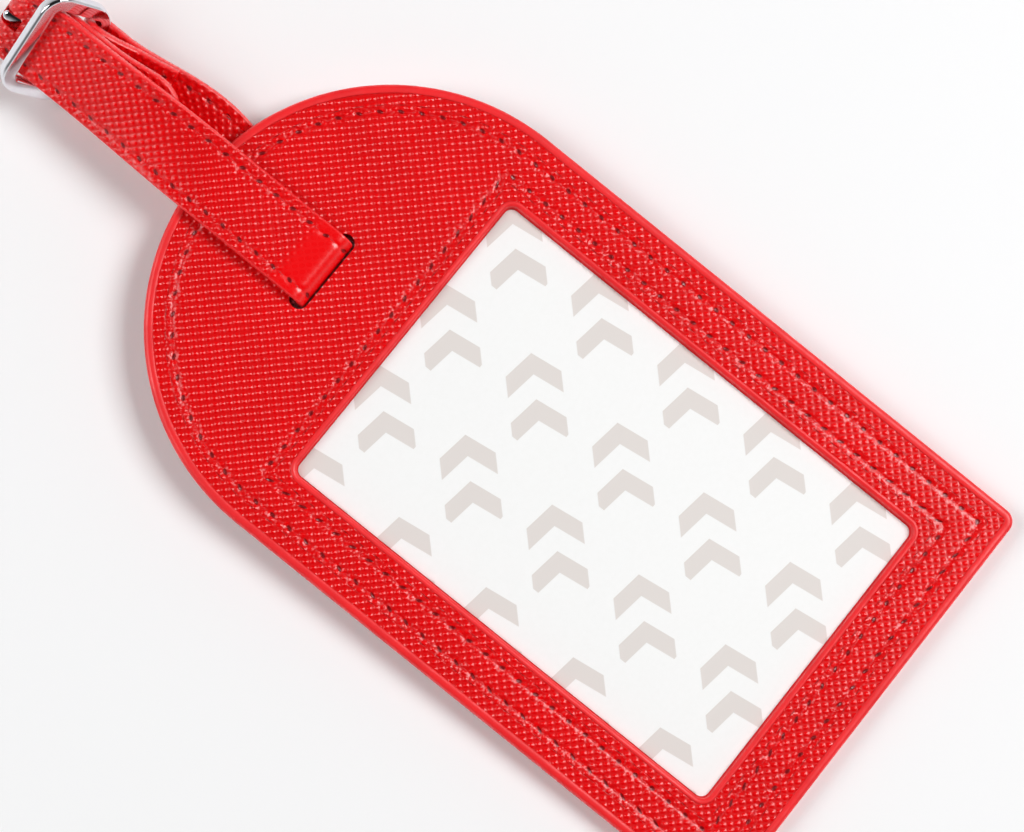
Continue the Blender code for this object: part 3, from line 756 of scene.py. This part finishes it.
def make_frame():
    """The chrome frame: a flat-faced section with rounded bevels, carried round its plane."""
    half = FRAME_THICKNESS / 2
    bevel = [(0.0, 0.5), (0.012, 0.68), (0.04, 0.84), (0.09, 0.95), (0.14, 0.99), (0.18, 1.0)]
    upper = bevel + [(1 - s, h) for s, h in bevel[::-1]]
    section = upper + [(s, -h) for s, h in upper[::-1]]
    points = [raised(buckle_loop(share), height * half) for share, height in section]
    made = surface("chrome_frame", np.array(points), True, True)
    made.data.transform(heel_matrix() @ Matrix.Rotation(FRAME_TILT, 4, "X"))
    made.data.set_sharp_from_angle(angle=CREASE)
    return made


def make_prong():
    """The prong: a rounded bar that wraps the heel bar and runs straight to a tapered tip."""
    radius = (EYE_INNER + EYE_OUTER) / 2
    wrap = arc((0, 0), radius, -230, 90, 60)
    reach = np.linspace(0, PRONG_LENGTH, 50)
    arm = np.column_stack([reach, radius + (ARM_OFFSET - radius) * smooth_step(reach, 0, ARM_SETTLES)])
    # Mirrored, the wrap runs clockwise round the bar and meets the arm at the top of the eye.
    path = np.vstack([np.column_stack([-wrap[:, 0], wrap[:, 1]]), arm])
    lengths = arc_length(path)
    path = along(path, lengths, np.linspace(0, lengths[-1], PRONG_STEPS))
    forward = unit(np.gradient(path, axis=0))
    up = np.stack([-forward[:, 1], forward[:, 0]], axis=1)
    lengths = arc_length(path)
    tip = np.clip(1 - (lengths[-1] - lengths) / PRONG_TAPER, 0, 1)
    taper = np.sqrt(np.clip(1 - tip**2, 0.02, 1))
    in_eye = np.arange(PRONG_STEPS) < PRONG_STEPS / 2
    thick = np.where(in_eye, PRONG_EYE_WALL / 2 * 0.95, PRONG_THICKNESS / 2)
    blur = np.ones(2 * PRONG_BLUR + 1) / (2 * PRONG_BLUR + 1)
    thick = np.convolve(np.pad(thick, PRONG_BLUR, "edge"), blur, "valid") * taper
    angle = np.arange(20) / 20 * 2 * np.pi
    round_x = np.sign(np.cos(angle)) * np.abs(np.cos(angle)) ** 0.6
    round_z = np.sign(np.sin(angle)) * np.abs(np.sin(angle)) ** 0.6
    x = round_x[None, :] * (PRONG_WIDTH / 2 * taper)[:, None]
    lift = round_z[None, :] * thick[:, None]
    y, z = (path[:, k, None] + up[:, k, None] * lift for k in (0, 1))
    made = surface("chrome_prong", np.stack([x, y, z], axis=2), False, True, caps=True)
    made.data.transform(heel_matrix() @ Matrix.Rotation(PRONG_RISE, 4, "X"))
    return made


# ---------------- window sheet

LINER_GAP = 0.25 * MM
LINER_WAVE = 0.03 * MM
LINER_SHEET = 0.1 * MM


def make_liner():
    """The backing sheet: a thin, barely waved card with rounded corners."""
    shares = np.linspace(0, 1, 24)
    reach = WINDOW_WIDTH / 2 - LINER_GAP
    flat = np.array([window_loop(-LINER_GAP - share * reach) for share in shares])
    wave = LINER_WAVE * np.sin(flat[..., 0] / (7 * MM)) * np.sin(flat[..., 1] / (11 * MM) + 1)
    wave *= smooth_step(shares, 0, 0.4)[:, None]
    top = np.dstack([flat, LINER_Z + wave])
    low = np.dstack([flat, LINER_Z - LINER_SHEET + wave])
    points = np.concatenate([top[::-1], low])
    made = surface("backing_sheet", points, False, True)
    made.data.set_sharp_from_angle(angle=CREASE)
    return made


# ---------------- materials


class Tree:
    """Short calls that add nodes to a tree and give back an output."""

    def __init__(self, tree):
        self.tree = tree

    def node(self, kind, settings=None, **inputs):
        made = self.tree.nodes.new(kind)
        for key, value in (settings or {}).items():
            setattr(made, key, value)
        return self.fill(made, **inputs)

    def fill(self, node, **inputs):
        """Sets or links inputs of a node, each named with _ for a space."""
        for key, value in inputs.items():
            self.put(node.inputs[key.replace("_", " ")], value)
        return node

    def put(self, socket, value):
        if isinstance(value, bpy.types.NodeSocket):
            self.tree.links.new(value, socket)
        else:
            socket.default_value = value

    def math(self, operation, first, second=None, clamp=False):
        made = self.node("ShaderNodeMath", {"operation": operation, "use_clamp": clamp})
        for socket, value in zip(made.inputs, (first, second)):
            if value is not None:
                self.put(socket, value)
        return made.outputs[0]

    def times(self, first, second):
        return self.math("MULTIPLY", first, second)

    def plus(self, first, second):
        return self.math("ADD", first, second)

    def minus(self, first, second, clamp=False):
        return self.math("SUBTRACT", first, second, clamp)

    def split(self, vector):
        return self.node("ShaderNodeSeparateXYZ", Vector=vector).outputs

    def step(self, value, start, end, low=0.0, high=1.0):
        ends = {"From_Min": start, "From_Max": end, "To_Min": low, "To_Max": high}
        smooth = {"interpolation_type": "SMOOTHSTEP"}
        return self.node("ShaderNodeMapRange", smooth, Value=value, **ends).outputs["Result"]

    def mix(self, share, first, second):
        made = self.node("ShaderNodeMix", {"data_type": "RGBA"}, Factor=share, A=first, B=second)
        return made.outputs["Result"]

    def noise(self, vector, scale, detail):
        made = self.node("ShaderNodeTexNoise", Vector=vector, Scale=scale, Detail=detail)
        return made.outputs["Fac"]

    def attribute(self, label):
        return self.node("ShaderNodeAttribute", {"attribute_name": label}).outputs["Fac"]

    def seen(self):
        return self.node("ShaderNodeLightPath").outputs["Is Camera Ray"]

    def coords(self):
        return self.node("ShaderNodeTexCoord").outputs["Object"]

    def finish(self, shader, colour, rough, relief, depth):
        """Joins the colour, the roughness and a bump of the given depth to a shader."""
        bump = self.node("ShaderNodeBump", Height=relief, Distance=depth)
        self.fill(shader, Base_Color=colour, Roughness=rough, Normal=bump.outputs["Normal"])


def group(name, inputs, outputs):
    """An empty shader group with named sockets: (tree helper, input node, output node)."""
    tree = bpy.data.node_groups.new(name, "ShaderNodeTree")
    for label, kind in inputs:
        tree.interface.new_socket(label, in_out="INPUT", socket_type=kind)
    for label, kind in outputs:
        tree.interface.new_socket(label, in_out="OUTPUT", socket_type=kind)
    return Tree(tree), tree.nodes.new("NodeGroupInput"), tree.nodes.new("NodeGroupOutput")


FLOAT, VECTOR = "NodeSocketFloat", "NodeSocketVector"
ROW_PITCH = 0.93
DOME_PITCH = 1.02
PULL_FLATTENS = 0.65
PULL_SINKS = 0.5
PUCKER = 2.4
HOLE_DEPTH = 1.1
GRAIN_DEPTH = 0.13 * MM

RED = (0.92, 0.0, 0.002, 1)
# The darker red serves a random mottle and painted shade in the grain's hollows.
RED_MOTTLE_AND_SHADE = (0.58, 0.0, 0.001, 1)
# Painted shade for the needle holes.
RED_HOLE_SHADE = (0.22, 0.0, 0.002, 1)
PAINT_RED = (0.93, 0.022, 0.026, 1)
PAINT_DEEP = (0.84, 0.008, 0.012, 1)
# The darker thread colour is painted shade in the grooves between the plies.
THREAD_GROOVE_SHADE, THREAD_LIGHT = (0.62, 0.001, 0.004, 1), (0.86, 0.003, 0.010, 1)
CHROME_DULL, CHROME_BRIGHT = (0.80, 0.79, 0.84, 1), (0.86, 0.86, 0.89, 1)
PAPER_DULL, PAPER_BRIGHT = (0.93, 0.93, 0.92, 1), (0.96, 0.96, 0.955, 1)
PRINT = (0.76, 0.71, 0.68, 1)
BOARD_LIGHT, BOARD_DARK = (0.42, 0.39, 0.35, 1), (0.3, 0.28, 0.25, 1)
GLUE_LIGHT, GLUE_DARK = (0.88, 0.87, 0.83, 1), (0.8, 0.79, 0.75, 1)
FLOOR_DULL, FLOOR_BRIGHT = (0.92, 0.92, 0.925, 1), (0.94, 0.94, 0.945, 1)
# The slot's red dye, darkened to near black as painted shade inside the slot.
SLOT_DYE_AND_SHADE = (0.12, 0.0, 0.002, 1)
DYE_AND_SHADE_REACH = 0.4 * MM


def cross_grain_group():
    """Pressed cross grain: rows of small domes on a lattice at 45 degrees.

    The height is a raised cosine across the rows times a shallower one along them, on a slightly warped
    vector in millimetres, so that the domes nearly touch along a row and part between the rows.
    """
    tools, source, target = group(
        "cross_grain", [("Place", VECTOR)], [("Height", FLOAT), ("Valley", FLOAT), ("Mottle", FLOAT)]
    )
    place = source.outputs["Place"]
    drift = tools.noise(place, 0.2, 2.0)
    wobble = tools.noise(place, 0.9, 1.0)
    apart = tools.split(place)
    x, y = apart["X"], apart["Y"]
    waves = []
    for sign, pitch, shift, amount in ((1, ROW_PITCH, drift, 2.6), (-1, DOME_PITCH, wobble, 1.6)):
        diagonal = tools.plus(x, tools.times(y, sign))
        turned = tools.times(diagonal, math.sqrt(0.5) * 2 * math.pi / pitch)
        wave = tools.math("COSINE", tools.plus(turned, tools.times(shift, amount)))
        waves.append(tools.plus(tools.times(wave, 0.5), 0.5))
    rows = tools.math("POWER", waves[0], 1.15)
    domes = tools.plus(tools.times(waves[1], 0.88), 0.12)
    height = tools.times(rows, domes)
    uneven = tools.plus(tools.times(wobble, 0.6), 0.7)
    fine = tools.noise(place, 4.0, 2.0)
    lifted = tools.times(height, uneven)
    height_out = tools.plus(lifted, tools.times(fine, 0.05))
    # Valley is 1 in the hollows between the domes; the leather darkens its red there as painted shade.
    valley = tools.step(height, 0.0, 0.5, 1.0, 0.0)
    tools.fill(target, Height=height_out, Valley=valley, Mottle=tools.noise(place, 0.12, 3.0))
    return tools.tree


def needle_holes_group():
    """Needle holes along a seam: slanted ovals where stitches end, with the leather drawn in."""
    tools, source, target = group(
        "needle_holes",
        [("Count", FLOAT), ("Offset", FLOAT)],
        [("Hole", FLOAT), ("Pull", FLOAT), ("Near", FLOAT)],
    )
    offset = source.outputs["Offset"]
    phase = tools.minus(tools.math("FRACT", source.outputs["Count"]), 0.5)
    run = tools.plus(tools.times(phase, STITCH / MM), tools.times(offset, 0.7))
    long_part = tools.math("POWER", tools.math("DIVIDE", run, 0.45), 2)
    wide_part = tools.math("POWER", tools.math("DIVIDE", offset, 0.3), 2)
    spread = tools.math("SQRT", tools.plus(long_part, wide_part))
    hole, pull = tools.step(spread, 0.55, 1.15, 1.0, 0.0), tools.step(spread, 0.6, 3.0, 1.0, 0.0)
    near = tools.step(tools.math("ABSOLUTE", offset), 0.2, 1.5, 1.0, 0.0)
    tools.fill(target, Hole=hole, Pull=pull, Near=near)
    return tools.tree


def new_material(name):
    made = bpy.data.materials.new(name)
    made.use_nodes = True
    tools = Tree(made.node_tree)
    return made, tools, made.node_tree.nodes["Principled BSDF"]


def leather(name, grain, holes, on_strap):
    """Glossy red cross-grain leather with needle holes, and painted edges where the piece says so."""
    made, tools, shader = new_material(name)
    uv = tools.node("ShaderNodeUVMap", {"uv_map": "flow"}).outputs["UV"]
    metres = uv if on_strap else tools.coords()
    scale = tools.node("ShaderNodeMapping", Vector=metres, Scale=(1 / MM, 1 / MM, 1 / MM))
    place_mm = scale.outputs["Vector"]
    grain_node = tools.node("ShaderNodeGroup", {"node_tree": grain}, Place=place_mm)
    flat = tools.split(place_mm if on_strap else uv)
    if on_strap:
        count = tools.math("DIVIDE", flat["X"], STITCH / MM)
        offset = tools.minus(tools.math("ABSOLUTE", flat["Y"]), STRAP_SEAM / MM)
    else:
        count, offset = flat["X"], flat["Y"]
    hole_node = tools.node("ShaderNodeGroup", {"node_tree": holes}, Count=count, Offset=offset)
    hole, pull = hole_node.outputs["Hole"], hole_node.outputs["Pull"]
    height, valley, mottle = (grain_node.outputs[k] for k in ("Height", "Valley", "Mottle"))

    # Painted shade: the red is darkened in the grain's hollows. The mottle below is a slow random tone.
    colour = tools.mix(tools.times(valley, 0.5), RED, RED_MOTTLE_AND_SHADE)
    colour = tools.mix(tools.times(tools.step(mottle, 0.35, 0.7), 0.25), colour, RED_MOTTLE_AND_SHADE)
    relief = tools.times(height, tools.minus(1, tools.times(pull, PULL_FLATTENS)))
    pucker = tools.minus(tools.noise(place_mm, 0.75, 2.0), 0.5)
    pucker = tools.times(tools.times(pucker, PUCKER), hole_node.outputs["Near"])
    relief = tools.plus(relief, pucker)
    if on_strap:
        pressed, painted = (tools.attribute(label) for label in ("pressed_flat", "edge_paint"))
        smooth = tools.math("MAXIMUM", pressed, painted)
        relief = tools.times(relief, tools.minus(1, smooth, clamp=True))
        colour = tools.mix(pressed, colour, RED)
        colour = tools.mix(painted, colour, PAINT_RED)
        hole = tools.times(hole, tools.minus(1, painted, clamp=True))
    # Painted shade: the needle holes are darkened to a deep red.
    colour = tools.mix(hole, colour, RED_HOLE_SHADE)
    relief = tools.minus(relief, tools.times(hole, HOLE_DEPTH))
    relief = tools.minus(relief, tools.times(pull, PULL_SINKS))
    tools.finish(shader, colour, tools.step(valley, 0, 1, 0.25, 0.28), relief, GRAIN_DEPTH)
    tools.fill(shader, Coat_Weight=0.35, Coat_Roughness=0.14)
    return made


def edge_paint_material():
    """Smooth satin edge paint with faint lumps from the brush."""
    made, tools, shader = new_material("edge_paint")
    lumps = tools.noise(tools.coords(), 260.0, 3.0)
    colour = tools.mix(tools.step(lumps, 0.35, 0.7), PAINT_RED, PAINT_DEEP)
    tools.finish(shader, colour, tools.step(lumps, 0.3, 0.7, 0.3, 0.45), lumps, 0.08 * MM)
    return made


def thread_material():
    """Twisted polyester thread: fine diagonal plies, with painted shade in the grooves between them."""
    made, tools, shader = new_material("sewing_thread")
    bands = {"bands_direction": "DIAGONAL"}
    waves = tools.node("ShaderNodeTexWave", bands, Vector=tools.coords(), Scale=1400.0, Distortion=1.0)
    plies = waves.outputs["Fac"]
    # Painted shade: the thread is darker in the ply grooves and lighter on the crests.
    colour = tools.mix(plies, THREAD_GROOVE_SHADE, THREAD_LIGHT)
    tools.finish(shader, colour, tools.step(plies, 0, 1, 0.6, 0.4), plies, 0.03 * MM)
    return made


def chrome_material():
    """Polished chrome with faint handling marks."""
    made, tools, shader = new_material("chrome")
    marks = tools.noise(tools.coords(), 900.0, 4.0)
    colour = tools.mix(tools.step(marks, 0.3, 0.8), CHROME_DULL, CHROME_BRIGHT)
    rough = tools.step(marks, 0.3, 0.8, 0.05, 0.11)
    tools.fill(shader, Base_Color=colour, Roughness=rough, Metallic=1.0)
    return made


def liner_material():
    """White siliconed paper, printed with a pale diagonal pattern of plain chevron pairs."""
    made, tools, shader = new_material("backing_paper")
    coords = tools.coords()
    apart = tools.split(coords)
    cells = []
    for axis, pitch, start in (("X", 14.9, 1.2), ("Y", 15.7, 3.0)):
        moved = tools.plus(tools.math("DIVIDE", apart[axis], pitch * MM), start / pitch)
        cells.append(tools.times(tools.minus(tools.math("FRACT", moved), 0.5), pitch))
    p = tools.times(tools.plus(cells[0], cells[1]), math.sqrt(0.5))
    q = tools.times(tools.minus(cells[0], cells[1]), math.sqrt(0.5))
    arrow = tools.plus(p, tools.times(tools.math("ABSOLUTE", q), 0.75))
    bands = []
    for centre in (-3.2, 3.4):
        gap = tools.math("ABSOLUTE", tools.minus(arrow, centre))
        bands.append(tools.step(gap, 1.45, 1.6, 1.0, 0.0))
    mark = tools.math("MAXIMUM", bands[0], bands[1])
    mark = tools.times(mark, tools.step(tools.math("ABSOLUTE", q), 3.9, 4.05, 1.0, 0.0))
    fibre = tools.noise(coords, 1500.0, 3.0)
    colour = tools.mix(mark, tools.mix(fibre, PAPER_DULL, PAPER_BRIGHT), PRINT)
    tools.finish(shader, colour, tools.step(fibre, 0.3, 0.7, 0.42, 0.55), fibre, 0.01 * MM)
    return made


def plain_material(name, light, dark, scale, rough):
    """A cloudy plain surface for the hidden boards and the adhesive, with a red dye inside the slot that
    is darkened to near black as painted shade.
    """
    made, tools, shader = new_material(name)
    coords = tools.coords()
    cloud = tools.noise(coords, scale, 4.0)
    apart = tools.split(coords)
    aside = tools.math("ABSOLUTE", apart["X"])
    beyond = tools.math("ABSOLUTE", tools.minus(apart["Y"], SLOT_Y))
    in_length = tools.math("LESS_THAN", aside, SLOT_LENGTH / 2 + DYE_AND_SHADE_REACH)
    in_width = tools.math("LESS_THAN", beyond, SLOT_WIDTH / 2 + DYE_AND_SHADE_REACH)
    dyed_and_shaded = tools.times(in_length, in_width)
    # Painted shade: inside the slot the boards are a near-black red.
    colour = tools.mix(dyed_and_shaded, tools.mix(cloud, light, dark), SLOT_DYE_AND_SHADE)
    tools.finish(shader, colour, tools.step(cloud, 0.3, 0.7, rough, rough + 0.15), cloud, 0.03 * MM)
    return made


def place(piece, body, made, slot_name, *nodes):
    """Gives a piece its material and body, and hides the CAD nodes that it stands for. The slot name is
    not used.
    """
    piece.data.materials.clear()
    piece.data.materials.append(made)
    if body:
        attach(piece, body)
    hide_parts(*nodes)
    return piece


# ---------------- making the object

grain = cross_grain_group()
holes = needle_holes_group()
panel_leather = leather("panel_leather", grain, holes, False)
strap_leather = leather("strap_leather", grain, holes, True)
paint = edge_paint_material()
thread = thread_material()
chrome = chrome_material()

place(panel("face_panel", TAG_THICKNESS, -1, True), "tag", panel_leather, "red_leather", "front_panel")
place(panel("rear_panel", 0, 1, False), "tag", panel_leather, "red_leather", "back_panel")
place(outer_bead(), "tag", paint, "edge_paint", "outer_edge_paint")
place(window_bead(), "tag", paint, "edge_paint", "window_edge_paint")

for seam, loop in (("perimeter", tag_loop(SEAM_INSET)), ("window", window_loop(WINDOW_SEAM_INSET))):
    top = flat_seam(f"{seam}_stitches_front", loop, TAG_THICKNESS - THREAD_SINK, 1)
    place(top, "tag", thread, "thread", f"{seam}_needle_thread")
    under = flat_seam(f"{seam}_stitches_back", loop, THREAD_SINK, -1)
    place(under, "tag", thread, "thread", f"{seam}_bobbin_thread")

place(make_liner(), "liner", liner_material(), "liner", "release_liner")

route, centres, across, normals, lengths = strap_frame()
strap = make_strap(route, centres, across, normals, lengths)
place(
    strap, None, strap_leather, "red_leather",
    "strap_root_outer", "strap_root_inner", "strap_front_outer", "strap_front_inner",
    "strap_rear_outer", "strap_rear_inner",
)
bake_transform(strap)
for piece in strap_seams(centres, across, normals, lengths):
    side = "right" if "right" in piece.name else "left"
    parts = ("root", "front", "rear") if "outer" in piece.name else ()
    nodes = [f"strap_{part}_thread_{side}" for part in parts]
    place(piece, None, thread, "thread", *nodes)
    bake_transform(piece)

place(make_frame(), "frame", chrome, "chrome", "buckle_frame")
place(make_prong(), "prong", chrome, "chrome", "buckle_prong")

board = plain_material("grey_board", BOARD_LIGHT, BOARD_DARK, 800.0, 0.85)
glue = plain_material("adhesive_film", GLUE_LIGHT, GLUE_DARK, 300.0, 0.3)
for node, made in (("front_stiffener", board), ("back_stiffener", board), ("adhesive_sheet", glue)):
    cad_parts[node].data.materials.clear()
    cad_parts[node].data.materials.append(made)

# ---------------- floor, light and camera

FLOOR_HALF = 2.4
FLOOR_BELOW = 0.05 * MM
FLOOR_GLOW = 0.02
AIM = (0, 0.02, 0)
WHITE = (1, 1, 1, 1)


def lowest_slope():
    """How steeply the floor falls from the tag's bottom edge to touch the strap or the buckle."""
    slopes = []
    for name in ("strap_root_outer", "strap_rear_outer", "buckle_frame"):
        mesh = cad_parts[name].data
        points = np.empty(len(mesh.vertices) * 3)
        mesh.vertices.foreach_get("co", points)
        points = points.reshape(-1, 3)
        slopes.append(np.min(points[:, 2] / (points[:, 1] + TAG_END)))
    return min(slopes)


def make_floor():
    """A pale sheet that the tag's bottom edge and the underside of its strap both touch."""
    mesh = bpy.data.meshes.new("floor")
    corners = [(x * FLOOR_HALF, y * FLOOR_HALF, 0) for x, y in ((-1, -1), (1, -1), (1, 1), (-1, 1))]
    mesh.from_pydata(corners, [], [(0, 1, 2, 3)])
    tilt = Matrix.Rotation(math.atan(lowest_slope()), 4, "X")
    mesh.transform(Matrix.Translation((0, -TAG_END, -FLOOR_BELOW)) @ tilt)
    made, tools, shader = new_material("floor")
    coords = tools.coords()
    colour = tools.mix(tools.noise(coords, 3.0, 2.0), FLOOR_DULL, FLOOR_BRIGHT)
    apart = tools.split(coords)
    along_y = tools.math("ABSOLUTE", tools.minus(apart["Y"], SLOT_Y))
    away = tools.math("MAXIMUM", along_y, tools.math("ABSOLUTE", apart["X"]))
    # Painted shade: the floor doesn't glow round the slot, so that the floor seen through the slot's ends
    # looks dark.
    outside_painted_slot_shade = tools.math("GREATER_THAN", away, SLOT_LENGTH)
    glow = tools.times(tools.times(tools.seen(), outside_painted_slot_shade), FLOOR_GLOW)
    tools.fill(shader, Base_Color=colour, Roughness=0.7, Emission_Color=WHITE, Emission_Strength=glow)
    mesh.materials.append(made)
    floor = add_object("floor", mesh)


def softbox(name, place, size, power):
    """A square area lamp turned to the tag."""
    lamp = bpy.data.lights.new(name, "AREA")
    lamp.shape = "SQUARE"
    lamp.size = size
    lamp.energy = power
    made = add_object(name, lamp)
    made.location = place
    direction = Vector(AIM) - Vector(place)
    made.rotation_euler = direction.to_track_quat("-Z", "Y").to_euler()


def make_light():
    """A room that is bright at the horizon and dark overhead, white to the camera, and two softboxes."""
    world = bpy.data.worlds.new("studio")
    bpy.context.scene.world = world
    world.use_nodes = True
    background = world.node_tree.nodes["Background"]
    tools = Tree(world.node_tree)
    direction = tools.node("ShaderNodeTexCoord").outputs["Generated"]
    height = tools.split(direction)["Z"]
    room = tools.step(tools.math("ABSOLUTE", height), 0.0, 0.7, 0.8, 0.015)
    tools.fill(background, Color=WHITE, Strength=tools.math("MAXIMUM", room, tools.seen()))
    softbox("key", (0.46, -0.35, 0.78), 0.46, 7.2)
    softbox("fill", (-0.35, 0.55, 0.6), 0.5, 3.7)


def make_camera():
    """A long lens almost straight above the face, with the tag lying aslant in its view."""
    place = Vector((-44.5, 6.3, 400.8)) * MM
    forward = Vector((0.1134, -0.0036, -0.9935)).normalized()
    up = Vector((0.7739, 0.6274, 0.0861))
    right = forward.cross(up).normalized()
    up = right.cross(forward)
    camera = bpy.data.cameras.new("camera")
    camera.lens = 100
    camera.sensor_width = 36
    camera.clip_start = 0.01
    made = add_object("camera", camera)
    turn_matrix = Matrix((right, up, -forward)).transposed().to_4x4()
    made.matrix_world = Matrix.Translation(place) @ turn_matrix
    bpy.context.scene.camera = made


make_floor()
make_light()
make_camera()
bpy.context.scene.view_settings.view_transform = "Standard"
